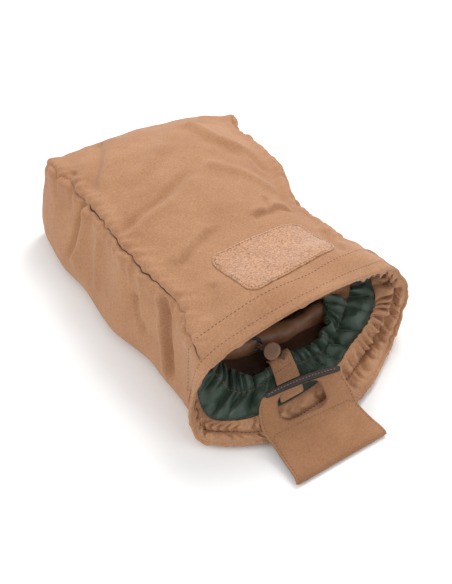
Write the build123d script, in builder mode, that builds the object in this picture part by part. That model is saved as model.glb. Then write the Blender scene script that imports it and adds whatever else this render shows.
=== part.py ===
from build123d import *
import math
import os

# Hand warmer muff: a quilted fabric bag with a gathered cuff, a drawcord pouch inside
# and a folded closing flap at its lower lip.
# Millimetres. X runs across the bag, +Y towards its closed end, +Z up; it rests on z = 0.

os.makedirs("parts", exist_ok=True)

# ---- driving dimensions ----------------------------------------------------------------
end_y = 226.0                # outer face of the closed end
fabric = 1.3                 # shell cloth with its lining
facing_cloth = 1.0           # facing and cuff cloth
batting = 6.0                # insulation between shell and pouch
batting_gap = 0.3
batting_front_y = -88.0
batting_section_ys = (-85.0, -20.0, 40.0, 120.0, 200.0)

# shell sections: y, half width at the base, half width at the top seam, seam height, crown
stations = (
    (end_y, 112.0, 100.0, 80.0, 92.0),
    (200.0, 119.0, 102.0, 88.0, 103.0),
    (120.0, 124.0, 103.0, 94.0, 110.0),
    (40.0, 124.0, 102.0, 96.0, 104.0),
    (-20.0, 125.0, 103.0, 95.0, 102.0),
    (-85.0, 130.0, 110.0, 90.0, 113.0),
    (-130.0, 133.0, 114.0, 84.0, 119.0),
    (-190.0, 136.0, 120.0, 74.0, 119.0),
)

# mouth: its plan curve at z = 0, and how far the top lip lies behind the bottom lip
mouth_plan = (
    (-136.0, -114.0),
    (-92.0, -157.0),
    (-48.0, -174.0),
    (-5.0, -179.0),
    (34.0, -173.0),
    (64.0, -160.0),
    (97.0, -140.0),
    (137.0, -106.0),
)
mouth_top_setback = 54.0
mouth_top_z = 115.0
mouth_cut_low_z = -15.0
mouth_cut_height = 190.0
mouth_cut_half_width = 200.0
mouth_cut_front_y = -340.0
facing_width = 26.0
facing_start = 1.5
cuff_end = 52.0              # depth of the gathered cuff edge behind the lip

# inset of the facing and cuff from the shell: at the lip, at the facing seam, at depth 75
inset_depths = (0.0, 35.0, 75.0)
inset_bottom = (1.6, 23.0, 31.0)
inset_side = (1.6, 18.0, 44.0)
inset_top = (1.6, 12.0, 21.0)
side_lip_y = -112.0
top_lip_y = -126.0
bottom_lip_y = -179.0
funnel_ys = (-190.0, -160.0, -144.0, -126.0, -112.0, -104.0, -91.0, -77.0, -51.0, -37.0)

elastic_width = 8.0
elastic_thickness = 0.7
mouth_elastic_depth = 8.0
cuff_elastic_margin = 3.0    # from the elastic to the cuff's gathered edge

# binding strip down the cuff
placket_outline = ((-48.5, -150.0), (-22.5, -150.0), (-7.5, -106.0), (-33.5, -106.0))
placket_thickness = 0.8
placket_low_z = 20.0
placket_high_z = 45.0
placket_margin = 4.0

# inner pouch sections: y, half width, half height, centre height
pouch_stations = (
    (-67.0, 72.0, 20.0, 55.0),
    (-36.0, 74.0, 23.0, 54.0),
    (0.0, 92.0, 35.0, 50.0),
    (60.0, 97.0, 37.0, 50.0),
    (190.0, 92.0, 33.0, 47.0),
    (212.0, 80.0, 26.0, 46.0),
)
pouch_cloth = 0.9

# drawcord tunnel round the pouch mouth
tunnel_y = -80.0
tunnel_half_width = 72.0
tunnel_half_height = 20.0
tunnel_centre_z = 55.0
tunnel_radius = 12.0
tunnel_cloth = 1.0
cord_diameter = 2.4

# eyelet, cord route and cord lock
eyelet_foot = Vector(-32.0, tunnel_y, tunnel_centre_z - tunnel_half_height)
eyelet_axis = Vector(-0.283, -0.697, 0.658).normalized()
cord_route = (               # between the strands: drawcord, eyelet, two turns, last turn, knot
    Vector(-32.34, -80.84, 35.79),
    Vector(-34.43, -85.99, 40.66),
    Vector(-34.20, -91.37, 43.33),
    Vector(-31.39, -98.76, 44.52),
    Vector(-21.89, -112.58, 42.53),
)
lock_distance = 8.5          # from the route's last turn to the lock's centre
cord_direction = (cord_route[-1] - cord_route[-2]).normalized()
strand_side = cord_direction.cross(Vector(-0.5, -0.45, 0.74)).normalized()
lock_axis = strand_side.cross(cord_direction)
eyelet_seat = 11.6           # height of the eyelet's seat above the drawcord
eyelet_outer_radius = 7.2
eyelet_hole_radius = 3.8
eyelet_margin = 0.8
seat_depth = 3.6
seat_thickness = 1.2
stem_wall = 0.7
washer_thickness = 0.8
flange_thickness = 1.1
knot_radius = 2.4

# cord lock, measured along its axis from the cord
barrel_half_width = 8.5
barrel_half_length = 6.8
barrel_bottom = -6.5
barrel_top = 3.5
barrel_floor = -5.5
bore_radius = 5.0
stem_radius = 4.95
stem_bottom = -2.6
button_bottom = 5.7
button_top = 9.2
rib_height = 0.9
rib_sink = 0.2
rib_length = 9.6
rib_width = 1.1
rib_pitch = 2.2
rib_count = 6
press_travel = 2.0
cord_slot_width = 5.6
slot_mouth_depth = 3.0       # flared mouth on the side that the cord enters
slot_mouth_height = 5.2
cord_play = 0.3
spring_wire = 0.45
spring_radius = 3.4
spring_turns = 2.5
spring_gap = 0.05            # free space at each end of the spring

# loop patch
patch_width = 104.0
patch_depth = 62.0
patch_centre = (2.0, -56.0)
patch_angle = 3.0
patch_thickness = 1.8
patch_corner = 11.0
patch_section_ys = (10.0, -20.0, -85.0, -110.0)

# flap
flap_left_fold = -75.0
flap_right_fold = 27.0
flap_left_bar = -70.0
flap_right_bar = 15.0
flap_root_y = -181.0
flap_fold_y = -219.0
flap_fold_z = 3.2
flap_back_z = 0.4
flap_cloth = 1.8
flap_middle = (-177.0, 20.0)
flap_tip = (-150.0, 43.0)
slot_left = -53.0
slot_right = -9.0
slot_front_y = -171.0
slot_corner = 9.0
bar_profile = ((0, -0.4), (5.9, 5.0), (4.0, 7.2), (0, 3.2))   # y and z from the flap's tip
hook_tape_centre = (-25.0, -192.0)
hook_tape_size = (78.0, 30.0)
hook_tape_corner = 6.0
hook_tape_thickness = 1.6


# ---- shell sections --------------------------------------------------------------------
def shell_profile(station, inset):
    """Corner heights and half widths of the shell section, moved inwards by inset."""
    _, base_half, seam_half, seam_z, crown_z = station
    return base_half - inset, seam_half - inset, seam_z - inset, crown_z - inset


def top_strip(station, outer, inner):
    """Section of the top panel between two insets."""
    _, seam, seam_z, crown = shell_profile(station, outer)
    _, seam_in, seam_z_in, crown_in = shell_profile(station, inner)
    with BuildSketch(Plane.XZ.offset(-station[0])) as section:
        with BuildLine():
            ThreePointArc((-seam, seam_z), (0, crown), (seam, seam_z))
            Line((seam, seam_z), (seam_in, seam_z_in))
            ThreePointArc((seam_in, seam_z_in), (0, crown_in), (-seam_in, seam_z_in))
            Line((-seam_in, seam_z_in), (-seam, seam_z))
        make_face()
    return section.sketch


def side_strip(station, outer, inner, side):
    """Section of a side panel, side = 1 on the right and -1 on the left."""
    base, seam, seam_z, _ = shell_profile(station, outer)
    base_in, seam_in, seam_z_in, _ = shell_profile(station, inner)
    with BuildSketch(Plane.XZ.offset(-station[0])) as section:
        with BuildLine():
            Polyline(
                (side * base, outer),
                (side * seam, seam_z),
                (side * seam_in, seam_z_in),
                (side * base_in, inner),
                close=True,
            )
        make_face()
    return section.sketch


def bottom_strip(station, outer, inner):
    """Section of the bottom panel between two insets."""
    base, _, _, _ = shell_profile(station, outer)
    base_in, _, _, _ = shell_profile(station, inner)
    with BuildSketch(Plane.XZ.offset(-station[0])) as section:
        with BuildLine():
            Polyline((-base, outer), (base, outer), (base_in, inner), (-base_in, inner), close=True)
        make_face()
    return section.sketch


def closed_section(y, base, seam, bottom_z, seam_z, crown):
    """Whole section of the bag: flat base, straight sides and an arched top."""
    with BuildSketch(Plane.XZ.offset(-y)) as section:
        with BuildLine():
            Line((-base, bottom_z), (base, bottom_z))
            Line((base, bottom_z), (seam, seam_z))
            ThreePointArc((seam, seam_z), (0, crown), (-seam, seam_z))
            Line((-seam, seam_z), (-base, bottom_z))
        make_face()
    return section.sketch


def blend_between(value, places, amounts):
    """Straight-line interpolation that holds its end values."""
    if value <= places[0]:
        return amounts[0]
    for i in range(len(places) - 1):
        if value <= places[i + 1]:
            share = (value - places[i]) / (places[i + 1] - places[i])
            return amounts[i] + share * (amounts[i + 1] - amounts[i])
    return amounts[-1]


def station_at(y):
    """Shell section at any y, between the given stations."""
    places = [s[0] for s in reversed(stations)]
    columns = zip(*[s[1:] for s in reversed(stations)])
    return (y, *[blend_between(y, places, column) for column in columns])


def funnel_section(y, extra):
    """Section of the facing and cuff, which close in from the shell behind the lip."""
    _, base, seam, seam_z, crown = station_at(y)
    low = blend_between(y - bottom_lip_y, inset_depths, inset_bottom) + extra
    side = blend_between(y - side_lip_y, inset_depths, inset_side) + extra
    high = blend_between(y - top_lip_y, inset_depths, inset_top) + extra
    lean = (base - seam) / seam_z
    seam_drop = 0.5 * high + 0.8
    return closed_section(
        y, base - side - lean * low, seam - side + lean * seam_drop, low, seam_z - seam_drop, crown - high
    )


def funnel_solid(extra):
    """Solid inside the funnel, moved inwards by extra."""
    with BuildPart() as solid:
        for y in funnel_ys:
            add(funnel_section(y, extra))
        loft(ruled=True)
    return solid.part


def mouth_front(depth):
    """Everything in front of the mouth surface, moved back by depth."""
    lean = Vector(0, mouth_top_setback, mouth_top_z).normalized()
    shift = depth + mouth_cut_low_z * mouth_top_setback / mouth_top_z
    lip = [(x, y + shift) for x, y in mouth_plan]
    left, right = lip[0], lip[-1]
    far_x, far_y = mouth_cut_half_width, mouth_cut_front_y
    with BuildPart() as front:
        with BuildSketch(Plane.XY.offset(mouth_cut_low_z)):
            with BuildLine():
                Spline(*lip)
                Polyline(right, (far_x, right[1]), (far_x, far_y), (-far_x, far_y), (-far_x, left[1]), left)
            make_face()
        extrude(amount=mouth_cut_height, dir=lean)
    return front.part


mouth_cut = mouth_front(0)
facing_front_cut = mouth_front(facing_start)
facing_back_cut = mouth_front(facing_width)
cuff_back_cut = mouth_front(cuff_end)


# ---- outer shell -----------------------------------------------------------------------
with BuildPart() as top_panel:
    for station in stations:
        add(top_strip(station, 0, fabric))
    loft(ruled=True)
    add(mouth_cut, mode=Mode.SUBTRACT)

with BuildPart() as left_side_panel:
    for station in stations:
        add(side_strip(station, 0, fabric, -1))
    loft(ruled=True)
    add(mouth_cut, mode=Mode.SUBTRACT)

with BuildPart() as right_side_panel:
    for station in stations:
        add(side_strip(station, 0, fabric, 1))
    loft(ruled=True)
    add(mouth_cut, mode=Mode.SUBTRACT)

with BuildPart() as bottom_panel:
    for station in stations:
        add(bottom_strip(station, 0, fabric))
    loft(ruled=True)
    add(mouth_cut, mode=Mode.SUBTRACT)

with BuildPart() as end_panel:
    for y in (end_y, end_y - fabric):
        base, seam, seam_z, crown = shell_profile(station_at(y), fabric)
        add(closed_section(y, base, seam, fabric, seam_z, crown))
    loft(ruled=True)


# ---- facing, cuff and their elastics ---------------------------------------------------
with BuildPart() as mouth_facing:
    add(funnel_solid(0))
    add(funnel_solid(facing_cloth), mode=Mode.SUBTRACT)
    add(facing_front_cut, mode=Mode.SUBTRACT)
    add(facing_back_cut, mode=Mode.INTERSECT)

with BuildPart() as lining_cuff:
    add(funnel_solid(0))
    add(funnel_solid(facing_cloth), mode=Mode.SUBTRACT)
    add(facing_back_cut, mode=Mode.SUBTRACT)
    add(cuff_back_cut, mode=Mode.INTERSECT)


def elastic_band(depth):
    """Flat elastic outside the funnel cloth, its front edge at depth behind the lip."""
    with BuildPart() as band:
        add(funnel_solid(-elastic_thickness))
        add(funnel_solid(0), mode=Mode.SUBTRACT)
        add(mouth_front(depth), mode=Mode.SUBTRACT)
        add(mouth_front(depth + elastic_width), mode=Mode.INTERSECT)
    return band.part


with BuildPart() as mouth_elastic:
    add(elastic_band(mouth_elastic_depth))

with BuildPart() as cuff_elastic:
    add(elastic_band(cuff_end - elastic_width - cuff_elastic_margin))

with BuildPart() as cuff_placket:
    add(funnel_solid(facing_cloth))
    add(funnel_solid(facing_cloth + placket_thickness), mode=Mode.SUBTRACT)
    add(facing_back_cut, mode=Mode.SUBTRACT)
    add(mouth_front(cuff_end - placket_margin), mode=Mode.INTERSECT)
    with BuildSketch(Plane.XY.offset(placket_low_z)):
        with BuildLine():
            Polyline(*placket_outline, close=True)
        make_face()
    extrude(amount=placket_high_z - placket_low_z, mode=Mode.INTERSECT)


# ---- insulation ------------------------------------------------------------------------
def batting_solid(inset, front_y, back_y):
    """Solid inside the shell, inset from its outer face."""
    with BuildPart() as solid:
        for y in (front_y, *batting_section_ys, back_y):
            base, seam, seam_z, crown = shell_profile(station_at(y), inset)
            add(closed_section(y, base, seam, inset, seam_z, crown))
        loft(ruled=True)
    return solid.part


batting_outer = fabric + batting_gap
batting_inner = batting_outer + batting
end_batting_front_y = end_y - batting_inner

with BuildPart() as insulation_wrap:
    add(batting_solid(batting_outer, batting_front_y, end_y - batting_outer))
    add(batting_solid(batting_inner, batting_front_y - 1, end_y - batting_outer + 1), mode=Mode.SUBTRACT)

with BuildPart() as insulation_end:
    for y in (end_y - batting_outer, end_batting_front_y):
        base, seam, seam_z, crown = shell_profile(station_at(y), batting_inner + batting_gap)
        add(closed_section(y, base, seam, batting_inner + batting_gap, seam_z, crown))
    loft(ruled=True)


# ---- inner pouch and its drawcord tunnel -----------------------------------------------
def pouch_solid(inset, front_extra):
    """Solid of the pouch, inset from its outer face."""
    with BuildPart() as solid:
        for y, half_width, half_height, centre_z in pouch_stations:
            at_y = y
            if y == pouch_stations[0][0]:
                at_y = y - front_extra
            if y == pouch_stations[-1][0]:
                at_y = y - inset
            with BuildSketch(Plane.XZ.offset(-at_y)):
                with Locations((0, centre_z)):
                    RectangleRounded(
                        2 * (half_width - inset), 2 * (half_height - inset), half_height - inset - 1.0
                    )
        loft(ruled=True)
    return solid.part


with BuildPart() as inner_pouch:
    add(pouch_solid(0, 0))
    add(pouch_solid(pouch_cloth, 1), mode=Mode.SUBTRACT)


def tunnel_ring(radius):
    """Ring of round section along the stadium path of the pouch mouth."""
    straight = tunnel_half_width - tunnel_half_height
    with BuildPart() as ring:
        with BuildLine(Plane((0, tunnel_y, tunnel_centre_z), x_dir=(1, 0, 0), z_dir=(0, -1, 0))) as path:
            Line((0, -tunnel_half_height), (straight, -tunnel_half_height))
            ThreePointArc(
                (straight, -tunnel_half_height),
                (tunnel_half_width, 0),
                (straight, tunnel_half_height),
            )
            Line((straight, tunnel_half_height), (-straight, tunnel_half_height))
            ThreePointArc(
                (-straight, tunnel_half_height),
                (-tunnel_half_width, 0),
                (-straight, -tunnel_half_height),
            )
            Line((-straight, -tunnel_half_height), (0, -tunnel_half_height))
        with BuildSketch(
            Plane((0, tunnel_y, tunnel_centre_z - tunnel_half_height), x_dir=(0, 1, 0), z_dir=(1, 0, 0))
        ):
            Circle(radius)
        sweep(path=path.wires()[0])
    return ring.part


def on_eyelet(height):
    """Plane across the eyelet's axis at a height above the drawcord."""
    return Plane(eyelet_foot + eyelet_axis * height, x_dir=strand_side, z_dir=eyelet_axis)


with BuildPart() as drawcord_tunnel:
    add(tunnel_ring(tunnel_radius))
    add(tunnel_ring(tunnel_radius - tunnel_cloth), mode=Mode.SUBTRACT)
    with BuildSketch(on_eyelet(eyelet_seat)):
        Circle(eyelet_outer_radius + eyelet_margin)
    extrude(amount=8, mode=Mode.SUBTRACT)
    with BuildSketch(on_eyelet(eyelet_seat - seat_depth)):
        Circle(eyelet_outer_radius + eyelet_margin)
    extrude(amount=seat_depth)
    with BuildSketch(on_eyelet(eyelet_seat - seat_depth - 1)):
        Circle(eyelet_outer_radius - eyelet_margin)
    extrude(amount=seat_depth + 1 - seat_thickness, mode=Mode.SUBTRACT)
    with BuildSketch(on_eyelet(eyelet_seat - seat_depth)):
        Circle(eyelet_hole_radius + stem_wall)
    extrude(amount=seat_depth, mode=Mode.SUBTRACT)

with BuildPart() as eyelet:
    with BuildSketch(on_eyelet(eyelet_seat)):
        Circle(eyelet_outer_radius)
        Circle(eyelet_hole_radius, mode=Mode.SUBTRACT)
    extrude(amount=flange_thickness)
    fillet(eyelet.edges().filter_by(GeomType.CIRCLE).sort_by(Axis(eyelet_foot, eyelet_axis))[-2:], 0.5)
    with BuildSketch(on_eyelet(eyelet_seat - seat_thickness - washer_thickness)):
        Circle(eyelet_hole_radius + stem_wall)
        Circle(eyelet_hole_radius, mode=Mode.SUBTRACT)
    extrude(amount=seat_thickness + washer_thickness)

with BuildPart() as eyelet_washer:
    with BuildSketch(on_eyelet(eyelet_seat - seat_thickness - washer_thickness)):
        Circle(eyelet_outer_radius - 1.2)
        Circle(eyelet_hole_radius + stem_wall, mode=Mode.SUBTRACT)
    extrude(amount=washer_thickness)

with BuildPart() as drawcord:
    add(tunnel_ring(cord_diameter / 2))


# ---- cord strands, knot and cord lock --------------------------------------------------
lock_centre = cord_route[-2] + cord_direction * lock_distance
cord_end = cord_route[-1]


def bend_radii(points):
    """Largest fair radius at each corner of a route."""
    radii = []
    for before, corner, after in zip(points, points[1:], points[2:]):
        first, second = corner - before, after - corner
        half_turn = math.radians(first.get_angle(second) / 2)
        radii.append(0.45 * min(first.length, second.length) / math.tan(half_turn))
    return radii


cord_bends = bend_radii(cord_route)
print("cord bend radii", [round(radius, 1) for radius in cord_bends])


def cord_strand(side):
    """One strand from the drawcord out through the eyelet and the lock to the knot."""
    shift = strand_side * (side * (cord_diameter / 2 + 0.05))
    points = [point + shift for point in cord_route]
    with BuildPart() as strand:
        with BuildLine() as path:
            FilletPolyline(*points, radius=cord_bends)
        with BuildSketch(Plane(points[0], x_dir=strand_side, z_dir=points[1] - points[0])):
            Circle(cord_diameter / 2)
        sweep(path=path.wires()[0])
    return strand.part


with BuildPart() as drawcord_strand_left:
    add(cord_strand(1))

with BuildPart() as drawcord_strand_right:
    add(cord_strand(-1))

with BuildPart() as drawcord_knot:
    with BuildSketch(Plane(cord_end, x_dir=strand_side, z_dir=cord_direction)):
        SlotOverall(2 * knot_radius + cord_diameter, 2 * knot_radius)
    extrude(amount=2 * knot_radius)
    fillet(drawcord_knot.edges(), 0.9)


def on_lock(height):
    """Plane across the lock's axis at a height above the cord."""
    return Plane(lock_centre + lock_axis * height, x_dir=strand_side, z_dir=lock_axis)


def cord_slot(low, high):
    """Slot for both strands through the lock, between two heights."""
    plane = Plane(lock_centre, x_dir=strand_side, z_dir=cord_direction)
    local_up = plane.to_local_coords(lock_centre + lock_axis).Y
    with BuildPart() as slot:
        with BuildSketch(plane):
            with Locations((0, local_up * (low + high) / 2)):
                Rectangle(cord_slot_width, high - low)
        extrude(amount=12, both=True)
    return slot.part


slot_low = -cord_diameter / 2 - cord_play
slot_high = cord_diameter / 2 + cord_play

with BuildPart() as cordlock_barrel:
    with BuildSketch(on_lock(barrel_bottom)):
        Ellipse(barrel_half_width, barrel_half_length)
    extrude(amount=barrel_top - barrel_bottom)
    fillet(cordlock_barrel.edges().sort_by(Axis(lock_centre, lock_axis))[0], 1.4)
    fillet(cordlock_barrel.edges().sort_by(Axis(lock_centre, lock_axis))[-1], 0.6)
    with BuildSketch(on_lock(barrel_floor)):
        Circle(bore_radius)
    extrude(amount=barrel_top - barrel_floor, mode=Mode.SUBTRACT)
    add(cord_slot(slot_low, slot_high), mode=Mode.SUBTRACT)
    slot_mouth = lock_centre - cord_direction * barrel_half_length
    with BuildSketch(Plane(slot_mouth, x_dir=strand_side, z_dir=cord_direction)):
        RectangleRounded(cord_slot_width + 1.0, slot_mouth_height, 1.2)
    extrude(amount=slot_mouth_depth, mode=Mode.SUBTRACT)

with BuildPart() as cordlock_plunger:
    with BuildSketch(on_lock(stem_bottom)):
        Circle(stem_radius)
    extrude(amount=button_bottom - stem_bottom)
    add(cord_slot(slot_low, slot_high + press_travel), mode=Mode.SUBTRACT)
    with BuildSketch(on_lock(button_bottom)):
        Ellipse(barrel_half_width, barrel_half_length + 0.7)
    extrude(amount=button_top - button_bottom)
    fillet(cordlock_plunger.edges().sort_by(Axis(lock_centre, lock_axis))[-1], 1.1)
    with BuildSketch(on_lock(button_top - rib_sink)):
        with GridLocations(rib_pitch, 1, rib_count, 1):
            SlotOverall(rib_length, rib_width, rotation=90)
    extrude(amount=rib_sink + rib_height)

with BuildPart() as cordlock_spring:
    spring_room = stem_bottom - barrel_floor - spring_wire - 2 * spring_gap
    spring_foot = lock_centre + lock_axis * (barrel_floor + spring_wire / 2 + spring_gap)
    with BuildLine() as coil:
        Helix(spring_room / spring_turns, spring_room, spring_radius, center=spring_foot, direction=lock_axis)
    with BuildSketch(Plane(coil.line @ 0, z_dir=coil.line % 0)):
        Circle(spring_wire / 2)
    sweep(path=coil.wires()[0])


# ---- loop patch on the top panel -------------------------------------------------------
with BuildPart() as loop_patch:
    for y in patch_section_ys:
        add(top_strip(station_at(y), -patch_thickness, 0))
    loft(ruled=True)
    with BuildSketch(Plane.XY.offset(80)):
        with Locations(Location((*patch_centre, 0), (0, 0, patch_angle))):
            RectangleRounded(patch_width, patch_depth, patch_corner)
    extrude(amount=60, mode=Mode.INTERSECT)


# ---- closing flap ----------------------------------------------------------------------
def flap_layer(low, high):
    """Curved sheet from the fold up to the bar, between two heights off its middle line."""
    with BuildPart() as layer:
        with BuildSketch(Plane.YZ.offset(flap_left_fold)):
            with BuildLine():
                lower = [(flap_fold_y, flap_fold_z + low), (flap_middle[0], flap_middle[1] + low)]
                upper = [(flap_fold_y, flap_fold_z + high), (flap_middle[0], flap_middle[1] + high)]
                ThreePointArc(*lower, (flap_tip[0], flap_tip[1] + low))
                Line((flap_tip[0], flap_tip[1] + low), (flap_tip[0], flap_tip[1] + high))
                ThreePointArc((flap_tip[0], flap_tip[1] + high), upper[1], upper[0])
                Line(upper[0], lower[0])
            make_face()
        extrude(amount=flap_right_fold - flap_left_fold)
    return layer.part


with BuildPart() as flap_front:
    add(flap_layer(0, flap_cloth * 1.3))
    with BuildSketch():
        with BuildLine():
            Polyline(
                (flap_left_fold, flap_fold_y),
                (flap_right_fold, flap_fold_y),
                (flap_right_bar, flap_tip[0]),
                (flap_left_bar, flap_tip[0]),
                close=True,
            )
        make_face()
    extrude(amount=60, mode=Mode.INTERSECT)
    with BuildSketch():
        with Locations(((slot_left + slot_right) / 2, slot_front_y + 20)):
            RectangleRounded(slot_right - slot_left, 40, slot_corner)
    extrude(amount=60, mode=Mode.SUBTRACT)

with BuildPart() as flap_bar:
    bar_plane = Plane(
        ((flap_left_bar + flap_right_bar) / 2, flap_tip[0], flap_tip[1]), x_dir=(0, 1, 0), z_dir=(1, 0, 0)
    )
    with BuildSketch(bar_plane):
        with BuildLine():
            Polyline(*bar_profile, close=True)
        make_face()
    extrude(amount=(flap_right_bar - flap_left_bar) / 2, both=True)

with BuildPart() as flap_hook_tape:
    add(flap_layer(-hook_tape_thickness, 0))
    with BuildSketch():
        with Locations(hook_tape_centre):
            RectangleRounded(*hook_tape_size, hook_tape_corner)
    extrude(amount=60, mode=Mode.INTERSECT)

with BuildPart() as flap_back:
    with BuildSketch(Plane.XY.offset(flap_back_z)):
        with BuildLine():
            Polyline(
                (flap_left_fold, flap_fold_y),
                (flap_right_fold, flap_fold_y),
                (flap_right_fold - 2, flap_root_y),
                (flap_left_fold + 2, flap_root_y),
                close=True,
            )
        make_face()
    extrude(amount=flap_cloth)


# ---- labels and files ------------------------------------------------------------------
pieces = {
    "top_panel": top_panel,
    "bottom_panel": bottom_panel,
    "left_side_panel": left_side_panel,
    "right_side_panel": right_side_panel,
    "end_panel": end_panel,
    "mouth_facing": mouth_facing,
    "mouth_elastic": mouth_elastic,
    "lining_cuff": lining_cuff,
    "cuff_elastic": cuff_elastic,
    "cuff_placket": cuff_placket,
    "insulation_wrap": insulation_wrap,
    "insulation_end": insulation_end,
    "inner_pouch": inner_pouch,
    "drawcord_tunnel": drawcord_tunnel,
    "drawcord": drawcord,
    "drawcord_strand_left": drawcord_strand_left,
    "drawcord_strand_right": drawcord_strand_right,
    "drawcord_knot": drawcord_knot,
    "eyelet": eyelet,
    "eyelet_washer": eyelet_washer,
    "cordlock_barrel": cordlock_barrel,
    "cordlock_plunger": cordlock_plunger,
    "cordlock_spring": cordlock_spring,
    "loop_patch": loop_patch,
    "flap_back": flap_back,
    "flap_front": flap_front,
    "flap_bar": flap_bar,
    "flap_hook_tape": flap_hook_tape,
}

for name, piece in pieces.items():
    piece.part.label = name
    export_step(piece.part, f"parts/{name}.step")
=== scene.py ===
import math
import bmesh
import bpy
import numpy as np
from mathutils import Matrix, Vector, noise
from mathutils.bvhtree import BVHTree
from mathutils.geometry import delaunay_2d_cdt


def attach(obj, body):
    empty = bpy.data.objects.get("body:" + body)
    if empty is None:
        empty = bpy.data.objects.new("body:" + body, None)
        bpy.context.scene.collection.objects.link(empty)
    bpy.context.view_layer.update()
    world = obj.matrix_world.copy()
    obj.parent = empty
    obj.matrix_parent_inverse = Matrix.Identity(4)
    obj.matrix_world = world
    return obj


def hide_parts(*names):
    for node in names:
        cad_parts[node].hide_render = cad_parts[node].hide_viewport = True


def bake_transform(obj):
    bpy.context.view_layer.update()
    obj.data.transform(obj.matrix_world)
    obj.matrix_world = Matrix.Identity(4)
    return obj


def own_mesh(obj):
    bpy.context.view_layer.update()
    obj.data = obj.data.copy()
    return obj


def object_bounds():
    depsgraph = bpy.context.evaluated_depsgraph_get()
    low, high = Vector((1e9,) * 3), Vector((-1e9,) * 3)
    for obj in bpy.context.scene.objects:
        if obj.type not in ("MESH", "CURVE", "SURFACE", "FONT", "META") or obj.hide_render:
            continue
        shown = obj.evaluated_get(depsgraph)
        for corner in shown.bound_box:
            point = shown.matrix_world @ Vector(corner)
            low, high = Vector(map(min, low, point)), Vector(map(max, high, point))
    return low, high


# Hand warmer muff. Shapes are worked out in millimetres in the object's frame and
# written to meshes in metres.

MM = 0.001
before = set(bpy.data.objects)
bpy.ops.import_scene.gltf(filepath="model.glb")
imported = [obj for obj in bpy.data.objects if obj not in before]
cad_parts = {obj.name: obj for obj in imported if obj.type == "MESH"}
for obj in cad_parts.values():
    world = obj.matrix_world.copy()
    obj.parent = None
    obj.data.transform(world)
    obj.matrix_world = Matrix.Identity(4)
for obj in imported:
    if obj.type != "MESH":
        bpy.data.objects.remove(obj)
cad_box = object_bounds()


# ---- small mathematics -----------------------------------------------------------------
def span_between(p):
    """Points from p[1] towards p[2] on the centripetal Catmull-Rom curve of four points."""
    gaps = np.maximum(np.linalg.norm(np.diff(p, axis=0), axis=1), 1e-6) ** 0.5
    knots = np.concatenate([[0], np.cumsum(gaps)])
    t = np.linspace(knots[1], knots[2], 24, endpoint=False)[:, None]

    def blend(low, high, first, last):
        return ((knots[last] - t) * low + (t - knots[first]) * high) / (knots[last] - knots[first])

    a = [blend(p[k], p[k + 1], k, k + 1) for k in range(3)]
    b = [blend(a[k], a[k + 1], k, k + 2) for k in range(2)]
    return blend(b[0], b[1], 1, 2)


def open_spans(points):
    """Dense pieces of a smooth open curve, one for each gap between its points."""
    ends = np.vstack([2 * points[0] - points[1], points, 2 * points[-1] - points[-2]])
    return [span_between(ends[i:i + 4]) for i in range(len(points) - 1)]


def closed_spans(points):
    """Dense pieces of a smooth closed curve, one for each point."""
    count = len(points)
    return [span_between(points[[i - 1, i, (i + 1) % count, (i + 2) % count]]) for i in range(count)]


def curve_through(points, count):
    """Evenly spaced points on a smooth open curve through the given points."""
    pts = np.array(points, float)
    return resampled(np.vstack(open_spans(pts) + [pts[-1:]]), count)


def resampled(line, count, spread=None):
    """The line's points at even steps of length, or at the given shares of it."""
    steps = distance_along(line)
    shares = np.linspace(0, 1, count) if spread is None else np.asarray(spread)
    return np.stack([np.interp(shares * steps[-1], steps, line[:, k]) for k in range(line.shape[1])], 1)


def distance_along(line):
    """Distance from the first point to each point of a line, or down each column of a grid."""
    steps = np.linalg.norm(np.diff(line, axis=0), axis=-1)
    return np.concatenate([np.zeros((1, *steps.shape[1:])), np.cumsum(steps, axis=0)])


def unit(v):
    return v / np.maximum(np.linalg.norm(v, axis=-1, keepdims=True), 1e-9)


def ring_tangent(ring):
    """Unit direction along a closed ring at each of its points."""
    return unit(np.roll(ring, -1, 0) - np.roll(ring, 1, 0))


def circle_angles(count):
    """Angles of evenly spaced points round a circle."""
    return [2 * math.pi * k / count for k in range(count)]


def bell(x, width):
    """1 where x is 0, falling off on both sides over the width."""
    return np.exp(-(x / width) ** 2)


def smooth_step(x, low, high):
    t = np.clip((x - low) / (high - low), 0, 1)
    return t * t * (3 - 2 * t)


def noise_at(x, y, z):
    """Smooth noise at the places x, y, z, each one value or an array of them."""
    places = np.stack(np.broadcast_arrays(x, y, z), axis=-1)
    values = [noise.noise(Vector(p)) for p in places.reshape(-1, 3)]
    return np.array(values).reshape(places.shape[:-1])


def bumps(points, *layers):
    """Smooth unevenness at each point: layers of noise, each with its wavelength, seed and
    height, about one height up and down."""
    total = 0
    for wavelength, seed, height in layers:
        moved = points / wavelength + np.array([seed, seed * 1.7, -seed])
        total = total + noise_at(moved[..., 0], moved[..., 1], moved[..., 2]) * 1.6 * height
    return total


def gathers(along, *layers):
    """Uneven folds along a gathered edge, with round tops and sharp valleys: layers of them,
    each with its wavelength, seed and height."""
    total = 0
    for wavelength, seed, height in layers:
        wander = 2.4 * noise_at(along / (wavelength * 2.6), seed, 0.0)
        swell = 0.8 + 0.55 * noise_at(along / (wavelength * 1.9), seed, 7.1)
        folds = np.abs(np.sin(np.pi * along / wavelength + 1.6 * wander)) ** 0.8
        total = total + height * ((2 * folds - 1) * swell)
    return total


def grid_normals(grid):
    """Unit normals of a grid whose second index runs round closed rings."""
    return unit(np.cross(np.roll(grid, -1, 1) - np.roll(grid, 1, 1), np.gradient(grid, axis=0)))


def turned_towards(normals, direction):
    """The normals, or their opposites if those agree better with the direction."""
    return normals if np.sum(normals * direction) >= 0 else -normals


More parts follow.
